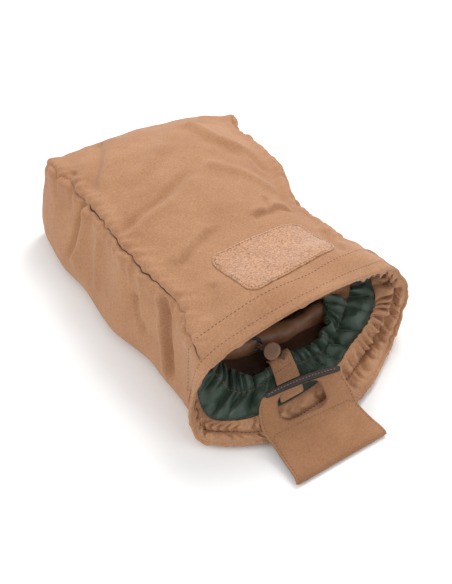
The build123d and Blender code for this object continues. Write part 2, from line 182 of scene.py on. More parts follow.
def settled(grid):
    """Where one level of subdivision leaves the points of a ring grid."""
    level = (np.roll(grid, 1, 1) + 6 * grid + np.roll(grid, -1, 1)) / 8
    rows = level.copy()
    rows[1:-1] = (level[:-2] + 6 * level[1:-1] + level[2:]) / 8
    return rows


def near_line(points, path, width):
    """How close each point lies to a curve: 1 on it, falling off over the width and
    towards the curve's ends."""
    line = curve_through(path, 60)
    flat = points.reshape(-1, 3)
    nearest = np.full(len(flat), 1e9)
    place = np.zeros(len(flat))
    for i, p in enumerate(line):
        d = np.linalg.norm(flat - p, axis=1)
        closer = d < nearest
        nearest[closer] = d[closer]
        place[closer] = i / (len(line) - 1)
    ends = smooth_step(place, 0, 0.12) * (1 - smooth_step(place, 0.8, 1.0))
    return (bell(nearest, width) * ends).reshape(points.shape[:-1])


# ---- meshes ----------------------------------------------------------------------------
def new_object(name, verts, faces, material):
    mesh = bpy.data.meshes.new(name)
    mesh.from_pydata([tuple(v * MM) for v in np.asarray(verts, float)], [], faces)
    mesh.validate()
    mesh.shade_smooth()
    mesh.materials.append(material)
    obj = bpy.data.objects.new(name, mesh)
    bpy.context.scene.collection.objects.link(obj)
    return obj


def grid_faces(rows, columns):
    """Four-sided faces between the rows of a grid whose rows are closed rings."""
    faces = []
    for low in range(0, (rows - 1) * columns, columns):
        for c in range(columns):
            n = (c + 1) % columns
            faces.append((low + c, low + n, low + columns + n, low + columns + c))
    return faces


def grid_object(name, grid, material, subdivided=False, towards=None):
    """A mesh of a grid of points; towards holds normals that its faces should agree with."""
    faces = grid_faces(*grid.shape[:2])
    if towards is not None and np.sum(grid_normals(grid) * towards) > 0:
        faces = [face[::-1] for face in faces]
    obj = new_object(name, grid.reshape(-1, 3), faces, material)
    if subdivided:
        modifier = obj.modifiers.new("Smooth", "SUBSURF")
        modifier.levels = 1
        modifier.render_levels = 1
    return obj


def joined(name, chunks, material):
    """One object from several (verts, faces) chunks."""
    verts, faces, first = [], [], 0
    for chunk_verts, chunk_faces in chunks:
        verts.append(np.asarray(chunk_verts))
        faces += [tuple(first + i for i in face) for face in chunk_faces]
        first += len(chunk_verts)
    return new_object(name, np.vstack(verts), faces, material)


def tube(name, line, thickness, material):
    """A round thread or wire along a line; thickness is its radius at each point."""
    along = unit(np.gradient(line, axis=0))
    side = unit(np.cross(along, np.array((0.13, 0.21, 0.97))))
    above = np.cross(side, along)
    rings = []
    for angle in circle_angles(8):
        rings.append(line + (side * math.cos(angle) + above * math.sin(angle)) * thickness[:, None])
    return grid_object(name, np.stack(rings, 1), material)


def stitch_chunk(start, end, normal, radius):
    """One stitch: a short thread that dips into the cloth at both ends."""
    start, end, normal = np.asarray(start), np.asarray(end), unit(np.asarray(normal))
    along = end - start
    side = unit(np.cross(along, normal))
    rings, sides = 5, 6
    verts = []
    for i in range(rings):
        t = i / (rings - 1)
        lift = math.sin(math.pi * t)
        centre = start + along * t + normal * radius * (1.3 * lift - 0.9)
        size = radius * (0.55 + 0.45 * lift)
        for k in range(sides):
            angle = 2 * math.pi * k / sides
            verts.append(centre + side * size * math.cos(angle) + normal * size * math.sin(angle))
    faces = grid_faces(rings, sides)
    faces.append(tuple(range(sides))[::-1])
    faces.append(tuple(range((rings - 1) * sides, rings * sides)))
    return verts, faces


def value_at(place, places, values):
    """The row of values at a place between the given places."""
    return np.array([np.interp(place, places, values[:, k]) for k in range(3)])


def stitch_row(name, line, normals, material, length, gap, radius):
    """A row of separate stitches along a line on the cloth."""
    steps = distance_along(line)
    count = int(steps[-1] / (length + gap))
    chunks = []
    for i in range(count):
        start = i * (length + gap)
        first, last = value_at(start, steps, line), value_at(start + length, steps, line)
        chunks.append(stitch_chunk(first, last, value_at(start, steps, normals), radius))
    return joined(name, chunks, material)


def plate(name, outline, place, thickness, material, spacing, holes=(), edge=1.2):
    """A cloth or leather plate with rounded edges: outline and holes are loops of 2-D points,
    place(a, b, height) puts the points in space, spacing is their distance inside the edges
    and edge how far in the rounding reaches."""
    outer = np.array(outline, float)
    holes = [np.array(hole, float) for hole in holes]
    points, lift, edges = [], [], []

    def add_loop(loop, inset, inward):
        direction = ring_tangent(loop)
        normal = np.stack([-direction[:, 1], direction[:, 0]], 1) * inward
        moved = loop + normal * inset
        share = min(inset / edge, 1.0)
        height = math.sqrt(max(0.0, 1 - (1 - share) ** 2))
        first = len(points)
        for p in moved:
            points.append(p)
            lift.append(height)
        if inset == 0:
            edges.extend((first + i, first + (i + 1) % len(loop)) for i in range(len(loop)))

    for loop, inward in [(outer, 1)] + [(hole, -1) for hole in holes]:
        for inset in (0.0, 0.35 * edge, edge):
            add_loop(loop, inset, inward)
    low, high = outer.min(0), outer.max(0)
    margin = edge * 1.6
    for a in np.arange(low[0] + spacing, high[0], spacing):
        for b in np.arange(low[1] + spacing, high[1], spacing):
            near_hole = any(near_or_in((a, b), hole, margin) for hole in holes)
            if inside_by((a, b), outer, margin) and not near_hole:
                points.append(np.array([a, b]))
                lift.append(1.0)
    found = delaunay_2d_cdt([Vector(p) for p in points], edges, [], 0, 1e-4)
    flat, triangles, origins = found[0], found[2], found[3]
    heights = [lift[o[0]] if o else 1.0 for o in origins]
    kept = []
    for triangle in triangles:
        centre = np.mean([flat[i] for i in triangle], axis=0)
        if in_loop(centre, outer) and not any(in_loop(centre, hole) for hole in holes):
            kept.append(tuple(triangle))
    count = len(flat)
    verts = [place(p[0], p[1], h * thickness / 2) for p, h in zip(flat, heights)]
    verts += [place(p[0], p[1], -h * thickness / 2) for p, h in zip(flat, heights)]
    faces = kept + [tuple(count + i for i in reversed(t)) for t in kept]
    obj = new_object(name, verts, faces, material)
    weld = bmesh.new()
    weld.from_mesh(obj.data)
    bmesh.ops.remove_doubles(weld, verts=weld.verts, dist=0.02 * MM)
    bmesh.ops.recalc_face_normals(weld, faces=weld.faces)
    weld.to_mesh(obj.data)
    weld.free()
    return obj


def in_loop(point, loop):
    """Whether a point lies inside a loop, by counting the sides to its right."""
    x, y = point
    x1, y1 = loop[:, 0], loop[:, 1]
    x2, y2 = np.roll(x1, -1), np.roll(y1, -1)
    crosses = ((y1 > y) != (y2 > y)) & (x < (x2 - x1) * (y - y1) / (y2 - y1 + 1e-12) + x1)
    return bool(np.count_nonzero(crosses) % 2)


def inside_by(point, loop, margin):
    return in_loop(point, loop) and np.min(np.linalg.norm(loop - np.array(point), axis=1)) > margin


def near_or_in(point, loop, margin):
    return in_loop(point, loop) or np.min(np.linalg.norm(loop - np.array(point), axis=1)) < margin


def rounded_rectangle(width, height, radius, step, centre=(0.0, 0.0)):
    """Counter-clockwise loop of a rectangle with rounded corners."""
    loop = []
    for cx, cy, start in ((1, -1, -90), (1, 1, 0), (-1, 1, 90), (-1, -1, 180)):
        for k in range(7):
            angle = math.radians(start + 15 * k)
            loop.append((centre[0] + cx * (width / 2 - radius) + radius * math.cos(angle),
                         centre[1] + cy * (height / 2 - radius) + radius * math.sin(angle)))
    loop = np.array(loop + [loop[0]])
    return resampled(loop, int(distance_along(loop)[-1] / step) + 1)[:-1]


# ---- materials -------------------------------------------------------------------------
def srgb(red, green, blue):
    """Linear colour, with full alpha, of an 8-bit sRGB colour."""
    linear = []
    for value in (red / 255, green / 255, blue / 255):
        linear.append(value / 12.92 if value <= 0.04045 else ((value + 0.055) / 1.055) ** 2.4)
    return (*linear, 1.0)


def node(tree, kind, **inputs):
    made = tree.nodes.new(kind)
    for key, value in inputs.items():
        made.inputs[key.replace("_", " ")].default_value = value
    return made


def base_material(name, roughness, specular, sheen=0.0, sheen_roughness=0.5, coat=0.0, metallic=0.0):
    """A new material with its node tree, its shader and its object coordinates."""
    material = bpy.data.materials.new(name)
    material.use_nodes = True
    shader = material.node_tree.nodes["Principled BSDF"]
    shader.inputs["Roughness"].default_value = roughness
    shader.inputs["Specular IOR Level"].default_value = specular
    shader.inputs["Sheen Weight"].default_value = sheen
    shader.inputs["Sheen Roughness"].default_value = sheen_roughness
    shader.inputs["Coat Weight"].default_value = coat
    shader.inputs["Metallic"].default_value = metallic
    tree = material.node_tree
    return material, tree, shader, tree.nodes.new("ShaderNodeTexCoord").outputs["Object"]


def noise_node(tree, source, scale, detail=3.0, roughness=0.5):
    made = node(tree, "ShaderNodeTexNoise", Scale=scale, Detail=detail, Roughness=roughness)
    tree.links.new(source, made.inputs["Vector"])
    return made.outputs["Fac"]


def colour_ramp(tree, factor, stops):
    ramp = tree.nodes.new("ShaderNodeValToRGB")
    while len(ramp.color_ramp.elements) < len(stops):
        ramp.color_ramp.elements.new(0.5)
    for element, (place, colour) in zip(ramp.color_ramp.elements, stops):
        element.position = place
        element.color = colour
    tree.links.new(factor, ramp.inputs["Fac"])
    return ramp.outputs["Color"]


def set_colours(tree, shader, factor, stops):
    """Gives the shader a base colour that follows a factor through colour stops."""
    tree.links.new(colour_ramp(tree, factor, stops), shader.inputs["Base Color"])


def multiplied(tree, factor, first, second):
    mix = tree.nodes.new("ShaderNodeMix")
    mix.data_type = "RGBA"
    mix.blend_type = "MULTIPLY"
    for socket, value in ((mix.inputs[0], factor), (mix.inputs[6], first), (mix.inputs[7], second)):
        if isinstance(value, bpy.types.NodeSocket):
            tree.links.new(value, socket)
        else:
            socket.default_value = value
    return mix.outputs[2]


def add_bump(tree, shader, heights):
    """Chained bump nodes from (height, distance in metres, strength)."""
    normal = None
    for height, distance, strength in heights:
        bump = node(tree, "ShaderNodeBump", Distance=distance, Strength=strength)
        tree.links.new(height, bump.inputs["Height"])
        if normal is not None:
            tree.links.new(normal, bump.inputs["Normal"])
        normal = bump.outputs["Normal"]
    tree.links.new(normal, shader.inputs["Normal"])


def weave(tree, source, pitch):
    """Height of a plain weave of threads, pitch in metres, from two crossed waves."""
    band_length_at_scale_one = 0.314
    parts = []
    for direction in ("X", "Y"):
        wave = tree.nodes.new("ShaderNodeTexWave")
        wave.bands_direction = direction
        wave.inputs["Scale"].default_value = band_length_at_scale_one / pitch
        wave.inputs["Distortion"].default_value = 0.6
        wave.inputs["Detail"].default_value = 1.0
        tree.links.new(source, wave.inputs["Vector"])
        parts.append(wave.outputs["Fac"])
    upper = tree.nodes.new("ShaderNodeMath")
    upper.operation = "MAXIMUM"
    tree.links.new(parts[0], upper.inputs[0])
    tree.links.new(parts[1], upper.inputs[1])
    return upper.outputs[0]


def cloth_material(name, colour, light, dark, speck=0.14):
    """Woven cloth: a soft mottling, fine thread specks and a weave in the bump."""
    material, tree, shader, place = base_material(name, 0.82, 0.25, 0.12, 0.45)
    broad = noise_node(tree, place, 18.0, 4.0, 0.6)
    fine = noise_node(tree, place, 620.0, 3.0, 0.75)
    mottled = colour_ramp(tree, broad, [(0.3, dark), (0.52, colour), (0.74, light)])
    specks = colour_ramp(tree, fine, [(0.35, (0.72, 0.70, 0.68, 1)), (0.65, (1.25, 1.25, 1.25, 1))])
    tree.links.new(multiplied(tree, speck * 4, mottled, specks), shader.inputs["Base Color"])
    add_bump(tree, shader, [(weave(tree, place, 0.0007), 0.00012, 0.5), (fine, 0.0003, 0.35)])
    return material


def shell_cloth_material():
    return cloth_material("ShellCloth", srgb(168, 124, 91), srgb(175, 131, 98), srgb(161, 116, 84))


def facing_cloth_material():
    return cloth_material("FacingCloth", srgb(176, 131, 98), srgb(184, 139, 105), srgb(162, 119, 88))


# Painted shade: the flap's cloth is the tan cloth made darker because the flap lies in shade.
def flap_cloth_painted_shade_material():
    return cloth_material("FlapClothPaintedShade", srgb(156, 112, 80), srgb(166, 122, 89), srgb(146, 103, 73), speck=0.12)


def green_lining_material():
    material, tree, shader, place = base_material("GreenLining", 0.4, 0.5, 0.18, 0.35)
    broad = noise_node(tree, place, 40.0, 3.0)
    set_colours(tree, shader, broad, [(0.3, srgb(42, 61, 50)), (0.7, srgb(64, 83, 69))])
    crumple = noise_node(tree, place, 160.0, 4.0, 0.55)
    add_bump(tree, shader, [(crumple, 0.0009, 0.55), (weave(tree, place, 0.0004), 0.00006, 0.4)])
    return material


def coated_cloth_material(name, low, high):
    material, tree, shader, place = base_material(name, 0.42, 0.4)
    broad = noise_node(tree, place, 30.0, 3.0)
    set_colours(tree, shader, broad, [(0.3, low), (0.7, high)])
    crumple = noise_node(tree, place, 90.0, 4.0, 0.6)
    add_bump(tree, shader, [(crumple, 0.0016, 0.8), (weave(tree, place, 0.0005), 0.00006, 0.3)])
    return material


def loop_pile_material():
    material, tree, shader, place = base_material("LoopPile", 0.95, 0.1, 0.5, 0.6)
    tufts = noise_node(tree, place, 520.0, 3.0, 0.75)
    patches = noise_node(tree, place, 60.0, 2.0)
    browns = [(0.34, srgb(128, 78, 44)), (0.5, srgb(176, 124, 84)), (0.68, srgb(204, 154, 112))]
    loops = colour_ramp(tree, tufts, browns)
    shade = colour_ramp(tree, patches, [(0.3, (0.92, 0.92, 0.92, 1)), (0.7, (1.05, 1.05, 1.05, 1))])
    tree.links.new(multiplied(tree, 1.0, loops, shade), shader.inputs["Base Color"])
    add_bump(tree, shader, [(tufts, 0.0008, 0.9)])
    return material


def leather_material():
    material, tree, shader, place = base_material("DarkLeather", 0.5, 0.5)
    cells = node(tree, "ShaderNodeTexVoronoi", Scale=900.0)
    tree.links.new(place, cells.inputs["Vector"])
    broad = noise_node(tree, place, 60.0, 3.0)
    set_colours(tree, shader, broad, [(0.3, srgb(24, 20, 18)), (0.7, srgb(42, 35, 31))])
    add_bump(tree, shader, [(cells.outputs["Distance"], 0.00025, 0.5)])
    return material


def thread_material(name, colour):
    material, tree, shader, place = base_material(name, 0.7, 0.3, 0.2)
    twist = noise_node(tree, place, 1500.0, 2.0)
    darker = tuple(c * 0.6 for c in colour[:3]) + (1,)
    set_colours(tree, shader, twist, [(0.3, darker), (0.7, colour)])
    add_bump(tree, shader, [(twist, 0.0001, 0.6)])
    return material


def cord_material():
    material, tree, shader, place = base_material("BraidedCord", 0.6, 0.35, 0.2)
    braid = weave(tree, place, 0.0009)
    set_colours(tree, shader, braid, [(0.2, srgb(70, 48, 32)), (0.8, srgb(130, 96, 68))])
    add_bump(tree, shader, [(braid, 0.0003, 0.8)])
    return material


def plastic_material():
    material, tree, shader, place = base_material("LockPlastic", 0.42, 0.5)
    grain = noise_node(tree, place, 1400.0, 2.0)
    broad = noise_node(tree, place, 120.0, 2.0)
    set_colours(tree, shader, broad, [(0.3, srgb(134, 102, 80)), (0.7, srgb(154, 120, 94))])
    add_bump(tree, shader, [(grain, 0.00008, 0.5)])
    return material


def metal_material(name, colour, roughness, metallic):
    material, tree, shader, place = base_material(name, roughness, 0.5, metallic=metallic, coat=0.3)
    wear = noise_node(tree, place, 300.0, 4.0, 0.6)
    worn = tuple(min(1.0, c * 1.9 + 0.01) for c in colour[:3]) + (1,)
    set_colours(tree, shader, wear, [(0.45, colour), (0.75, worn)])
    add_bump(tree, shader, [(wear, 0.00005, 0.4)])
    return material


def plain_noise_material(name, low, high, scale, roughness, depth):
    material, tree, shader, place = base_material(name, roughness, 0.3)
    fibres = noise_node(tree, place, scale, 5.0, 0.7)
    set_colours(tree, shader, fibres, [(0.3, low), (0.7, high)])
    add_bump(tree, shader, [(fibres, depth, 0.7)])
    return material


shell_cloth = shell_cloth_material()
facing_cloth = facing_cloth_material()
flap_cloth_painted_shade = flap_cloth_painted_shade_material()
green_lining = green_lining_material()
coated_cloth = coated_cloth_material("CoatedCloth", srgb(104, 66, 42), srgb(140, 100, 72))
# Painted shade: the tunnel's coated cloth made much darker for the shaded inside of the pouch.
pouch_cloth_painted_shade = coated_cloth_material("PouchClothPaintedShade", srgb(44, 27, 18), srgb(66, 43, 29))
loop_pile = loop_pile_material()
dark_leather = leather_material()
brown_thread = thread_material("BrownThread", srgb(104, 74, 60))
tan_thread = thread_material("TanThread", srgb(178, 128, 90))
orange_thread = thread_material("OrangeThread", srgb(156, 104, 70))
# Painted shadow: a dark brown cord colour laid in the top seams' grooves to stand in for their shade.
seam_shadow_cord = thread_material("SeamShadowCord", srgb(66, 43, 30))
braided_cord = cord_material()
lock_plastic = plastic_material()
black_metal = metal_material("BlackMetal", srgb(26, 27, 30), 0.28, 0.8)
spring_steel = metal_material("SpringSteel", srgb(150, 150, 150), 0.3, 1.0)
batting_fibre = plain_noise_material("Batting", srgb(206, 204, 198), srgb(236, 234, 230), 400.0, 0.95, 0.001)
elastic_web = plain_noise_material("Elastic", srgb(120, 104, 88), srgb(150, 132, 112), 900.0, 0.8, 0.0003)
hook_tape = plain_noise_material("HookTape", srgb(16, 16, 16), srgb(48, 46, 44), 1500.0, 0.7, 0.0006)


# ---- camera, light and floor -----------------------------------------------------------
def make_camera():
    azimuth, elevation, distance = math.radians(-32.5), math.radians(44.0), 0.811
    target = (cad_box[0] + cad_box[1]) / 2 + Vector((-0.024, -0.0235, -0.009))
    back = Vector((
        math.sin(azimuth) * math.cos(elevation), -math.cos(azimuth) * math.cos(elevation), math.sin(elevation)
    ))
    camera = bpy.data.objects.new("Camera", bpy.data.cameras.new("Camera"))
    camera.data.lens = 50
    camera.data.sensor_width = 36
    aim(camera, target + back * distance, -back)
    bpy.context.scene.camera = camera


def aim(obj, place, direction):
    """Puts a camera or a light at a place, looking in a direction."""
    obj.location = place
    obj.rotation_mode = "QUATERNION"
    obj.rotation_quaternion = direction.to_track_quat("-Z", "Y")
    bpy.context.scene.collection.objects.link(obj)


lit_point = Vector((0, 0, 0.05))


def area_light(name, place, size, power):
    light = bpy.data.lights.new(name, "AREA")
    light.size = size
    light.energy = power
    aim(bpy.data.objects.new(name, light), place, lit_point - Vector(place))


def make_studio():
    area_light("KeyLight", (1.0, 0.7, 1.4), 0.9, 25)
    area_light("SideLight", (-1.5, 0.3, 0.9), 1.2, 11)
    area_light("FrontLight", (0.7, -1.4, 1.2), 1.4, 5.5)
    world = bpy.data.worlds.new("Studio")
    world.use_nodes = True
    world.node_tree.nodes["Background"].inputs["Color"].default_value = (1, 1, 1, 1)
    world.node_tree.nodes["Background"].inputs["Strength"].default_value = 0.68
    bpy.context.scene.world = world
    bpy.context.scene.view_settings.view_transform = "Standard"
    material, tree, shader, place = base_material("Floor", 0.9, 0.1)
    tone = noise_node(tree, place, 2.0)
    set_colours(tree, shader, tone, [(0.2, (0.93, 0.93, 0.93, 1)), (0.8, (0.96, 0.96, 0.96, 1))])
    size = 4000.0
    floor = new_object("Floor", [(-size, -size, 0), (size, -size, 0), (size, size, 0), (-size, size, 0)],
                       [(0, 1, 2, 3)], material)


make_camera()
make_studio()


cord_diameter = 0.0024
cord_route = [
    (-0.03234, -0.08084, 0.03579),
    (-0.03443, -0.08599, 0.04066),
    (-0.03420, -0.09137, 0.04333),
    (-0.03139, -0.09876, 0.04452),
    (-0.02189, -0.11258, 0.04253),
]
cord_direction = (Vector(cord_route[-1]) - Vector(cord_route[-2])).normalized()
strand_side = cord_direction.cross(Vector((-0.5, -0.45, 0.74))).normalized()


def make_strand(name, side, solids):
    curve = bpy.data.curves.new(name, "CURVE")
    curve.dimensions = "3D"
    spline = curve.splines.new("NURBS")
    spline.points.add(len(cord_route) - 1)
    shift = strand_side * side * (cord_diameter / 2 + 0.00005)
    for point, place in zip(spline.points, cord_route):
        point.co = (*(Vector(place) + shift), 1)
    spline.order_u = 3
    spline.use_endpoint_u = True
    spline.resolution_u = 12
    curve.bevel_depth = cord_diameter / 2
    curve.bevel_resolution = 4
    curve.use_fill_caps = True
    curve.materials.append(braided_cord)
    strand = bpy.data.objects.new(name, curve)
    bpy.context.scene.collection.objects.link(strand)
    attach(strand, "bag")
    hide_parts(*solids)


make_strand("StrandLeft", 1, ["drawcord_strand_left"])
make_strand("StrandRight", -1, ["drawcord_strand_right"])


def make_spring():
    """The lock's return spring as a fixed coil of wire; the real spring shortens as the button goes in."""
    lock_axis = strand_side.cross(cord_direction)
    lock_centre = Vector(cord_route[3]) + cord_direction * 0.0085
    wire, coil, height, turns = 0.225, 3.4, 2.3, 2.5
    foot = lock_centre - lock_axis * 0.0052
    line = []
    for angle in np.linspace(0, 2 * math.pi * turns, 90):
        around = cord_direction * math.cos(angle) + strand_side * math.sin(angle)
        rise = height * angle / (2 * math.pi * turns)
        line.append(foot / MM + around * coil + lock_axis * rise)
    line = np.array([tuple(p) for p in line])
    spring = tube("LockSpring", line, np.full(len(line), wire), spring_steel)
    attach(spring, "cord_lock")
    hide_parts("cordlock_spring")
    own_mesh(spring)


make_spring()


# ---- shell -----------------------------------------------------------------------------
# Each ring round the bag has fifteen key points, in this order: bottom middle, three along
# the bottom to the right, right base corner, right side, right seam, three over the top,
# left seam, left side, left base corner and two along the bottom back to the middle.
right_seam_key, left_seam_key = 6, 10
# Stretches of a ring from the left seam: key points, columns, and the end they crowd towards.
ring_sections = (
    (2, 30, "first"), (3, 18, ""), (4, 20, ""), (2, 30, "last"), (2, 42, "first"), (2, 42, "last"),
)
crowding = 1.7
right_seam_column = sum(columns for _, columns, _ in ring_sections[:4])

lip_ring = (
    (-20, -179, 6), (34, -172, 6), (66, -158, 9), (97, -139, 11), (121, -124, 22),
    (135, -113, 47), (119, -106, 77), (70, -118, 102), (10, -127, 118), (-50, -125, 107),
    (-106, -120, 82), (-126, -118, 40), (-127, -133, 9), (-100, -155, 6), (-66, -170, 6),
)


def section_ring(y, top_back, base, seam, seam_z, crown, bulge, lag):
    """Key points of a ring behind the lip. base and seam hold left and right half widths,
    seam_z the two seams' heights, crown the top's middle and bulge how far the sides swell.
    top_back is how far the crown lies behind the base, and lag how far each side does."""
    left_base, right_base = base
    left_seam, right_seam = seam
    left_z, right_z = seam_z
    crown_x, crown_z = crown
    keys = [
        (-15, 0.3), (0.33 * right_base, 0.3), (0.62 * right_base, 0.3), (0.87 * right_base, 0.5),
        (right_base, 9),
        ((right_base + right_seam) / 2 + bulge[1], right_z * 0.52), (right_seam, right_z),
        (crown_x + 0.56 * (right_seam - crown_x), right_z + 0.80 * (crown_z - right_z)), (crown_x, crown_z),
        (crown_x - 0.56 * (left_seam + crown_x), left_z + 0.80 * (crown_z - left_z)),
        (-left_seam, left_z), (-(left_base + left_seam) / 2 - bulge[0], left_z * 0.52),
        (-left_base, 9), (-0.80 * left_base, 0.5), (-0.45 * left_base, 0.3),
    ]
    ring = []
    for x, z in keys:
        back = top_back * z / crown_z + lag[x > 0] * (abs(x) / 130) ** 2.4
        ring.append((x, y + back, z))
    return ring


shell_rings = [
    section_ring(-160, 54, (118, 127), (106, 116), (90, 79), (8, 118), (3, 9), (48, 48)),
    section_ring(-126, 46, (116, 127), (101, 111), (93, 82), (6, 115), (3, 8), (40, 40)),
    section_ring(-82, 30, (117, 124), (95, 100), (95.5, 83), (3, 109), (3, 7), (20, 20)),
    section_ring(-32, 10, (118, 120), (97, 101), (94.5, 82), (0, 105.5), (3, 3), (6, 6)),
    section_ring(26, 0, (129, 114), (101, 96), (94, 80), (0, 106), (4, 3), (0, 0)),
    section_ring(88, 0, (128, 124), (100, 118), (94, 81), (2, 109), (6, 6), (0, 0)),
    section_ring(150, 0, (131, 134), (99, 125), (93, 80), (8, 109), (7, 7), (-3, -3)),
    section_ring(200, 4, (127, 136), (102, 124), (92, 77), (14, 101), (7, 7), (-1, -8)),
    section_ring(228, 9, (118, 132), (103, 141), (86, 76), (26, 88), (5, 3), (-2, -17)),
]


def from_left_seam(keys):
    return np.roll(np.array(keys, float), -left_seam_key, axis=0)


def ring_columns(keys, sharp_seams):
    """Points round one ring from the left seam; a sharp ring turns at the two top seams."""
    keys = from_left_seam(keys)
    turn = right_seam_key - left_seam_key
    if sharp_seams:
        pieces = open_spans(keys[:turn + 1]) + open_spans(np.vstack([keys[turn:], keys[:1]]))
    else:
        pieces = closed_spans(keys)
    columns, first = [], 0
    for spans, count, crowded in ring_sections:
        after = keys[(first + spans) % len(keys)]
        line = np.vstack(pieces[first:first + spans] + [after[None]])
        shares = np.linspace(0, 1, count + 1)
        if crowded == "first":
            shares = shares ** crowding
        if crowded == "last":
            shares = 1 - (1 - shares) ** crowding
        columns.append(resampled(line, count + 1, shares)[:-1])
        first += spans
    return np.vstack(columns)


def lofted(rings, step):
    """Rows between the rings, smooth from ring to ring, about step apart."""
    length = sum(np.mean(np.linalg.norm(b - a, axis=1)) for a, b in zip(rings, rings[1:]))
    return np.stack([curve_through(rings[:, c], int(length / step)) for c in range(rings.shape[1])], 1)


def lip_wave(ring):
    """Gathers of the elasticated hem along the lip, strongest at the right and below."""
    strength = np.maximum(smooth_step(ring[:, 0], 55, 115), 1 - smooth_step(ring[:, 2], 18, 50))
    along = distance_along(ring)
    return gathers(along, (23.0, 3.0, 0.6), (10.5, 9.0, 0.4)) * strength


rings = np.array([ring_columns(lip_ring, False)] + [ring_columns(keys, True) for keys in shell_rings])
shell = lofted(rings, 2.7)
row_count, column_count = shell.shape[:2]
outward = turned_towards(grid_normals(shell), shell - shell.mean(1, keepdims=True))
depth = distance_along(shell)


def seam_gaps():
    """Distance from every shell point to the left and right seams, along its own ring."""
    steps = np.linalg.norm(np.roll(shell, -1, 1) - shell, axis=2)
    round_ring = np.concatenate([np.zeros((row_count, 1)), np.cumsum(steps, axis=1)], axis=1)
    length, from_left = round_ring[:, -1:], round_ring[:, :-1]
    to_right = from_left - from_left[:, right_seam_column:right_seam_column + 1]
    to_left = np.where(from_left > length / 2, from_left - length, from_left)
    return to_left, to_right


left_gap, right_gap = seam_gaps()

# Creases of the cloth: the face they lie on, the side on which the cloth rises beside
# them, their width, their height (a ridge is positive) and their path.
face_normals = {"top": np.array((0.0, 0.0, 1.0)), "left": np.array((-1.0, 0.0, 0.0))}
creases = (
    ("top", -1, 7, -5.0, ((-34, 236, 87), (-51, 200, 97), (-67, 173, 99), (-80, 155, 97), (-92, 133, 97))),
    ("top", 1, 6.0, -5.0, ((-98, 63, 96), (-71, 73, 99), (-42, 80, 106), (-8, 95, 107), (16, 108, 108))),
    ("top", -1, 5, -4.0, ((-70, -14, 98), (-58, -7, 100), (-45, 0, 101), (-29, 7, 103), (-10, 17, 103))),
    ("top", 0, 7, -2.6, ((-58, -50, 105), (-66, -60, 104), (-75, -70, 103), (-88, -84, 99))),
    ("top", -1, 3.5, -4.0, ((24, 5, 105), (36, 9, 104), (48, 9, 102), (63, 13, 96), (80, 6, 88))),
    ("top", 0, 3, -3.0, ((60, 34, 100), (52, 23, 102), (46, 9, 103))),
    ("left", 1, 4.2, -6.5,
     ((-95, -28, 93), (-99, -38, 80), (-105, -47, 62), (-111, -58, 42), (-118, -72, 18))),
    ("left", 0, 3.5, -3.6, ((-109, 8, 72), (-111, -1, 52), (-112, -10, 45), (-112, -22, 40))),
    ("left", -1, 6, -6.5, ((-96, 136, 96), (-107, 134, 78), (-119, 131, 57), (-133, 139, 26))),
    ("top", 1, 7, 4.0, ((62, 208, 96), (67, 183, 102), (70, 150, 106), (82, 128, 104), (96, 102, 98))),
    ("top", 0, 7, 3.2, ((30, 112, 108), (54, 82, 107), (70, 60, 101), (86, 40, 90))),
    ("top", 0, 5, -3.2, ((84, 124, 103), (92, 96, 98), (92, 74, 96))),
    ("top", 0, 8, -4.0, ((-104, 190, 90), (-97, 186, 94), (-86, 188, 97))),
    ("top", 0, 6, -3.0, ((88, -30, 92), (78, -50, 98), (69, -75, 108), (64, -90, 110))),
    ("top", 1, 8, 2.2, ((-60, 120, 104), (-20, 140, 109), (20, 170, 108))),
    ("left", 1, 7, 3.0, ((-104, 90, 80), (-116, 84, 56), (-126, 70, 28))),
)
crease_strength = 1.3
corner_dip = np.array((-82.0, 208.0, 92.0))


def crease_height(points):
    """Height of the listed creases at each point, with the rise beside each."""
    height = -2.5 * bell(np.linalg.norm(points - corner_dip, axis=2), 26)
    for face, side, width, peak, path in creases:
        line = np.array(path, float)
        height = height + near_line(points, line, width) * peak * crease_strength
        if side:
            beside = unit(np.cross(line[-1] - line[0], face_normals[face])) * side
            height = height - near_line(points, line + beside * width * 1.8, width * 1.4) * peak * 0.75
    return height


groove_depth, groove_width = 7.5, 1.7
puff_height, puff_place, puff_width = 2.4, 8.0, 7.0
pucker_height, pucker_length, pucker_reach = 6.0, 8.5, 15.0


def seam_wander(gap, seed):
    """How far the cloth by a seam is pulled sideways, in short uneven steps."""
    along = depth[:, :1]
    pull = 2.8 * noise_at(along / 8.0, seed, 3.0) + 3.4 * noise_at(along / 24.0, seed, 8.0)
    return pull * bell(gap, 13.0)


def seam_shape(gap, seed, strength):
    """Cloth drawn in along a seam: a deep narrow groove, puffed sides and slanting puckers."""
    slant = depth[:, :1] + np.abs(gap) * 0.5 + np.where(gap > 0, 4.0, 0.0)
    wave = noise_at(slant / pucker_length, seed, 0.4 * (gap > 0))
    near = np.exp(-(np.abs(gap) / pucker_reach) ** 1.5)
    groove = -groove_depth * np.exp(-(np.abs(gap) / groove_width) ** 1.3)
    puff = puff_height * bell(np.abs(gap) - puff_place, puff_width)
    puckers = wave * pucker_height * near * (1 - bell(gap, 2.5))
    return (groove + puff + puckers * strength) * smooth_step(depth, 6, 40)


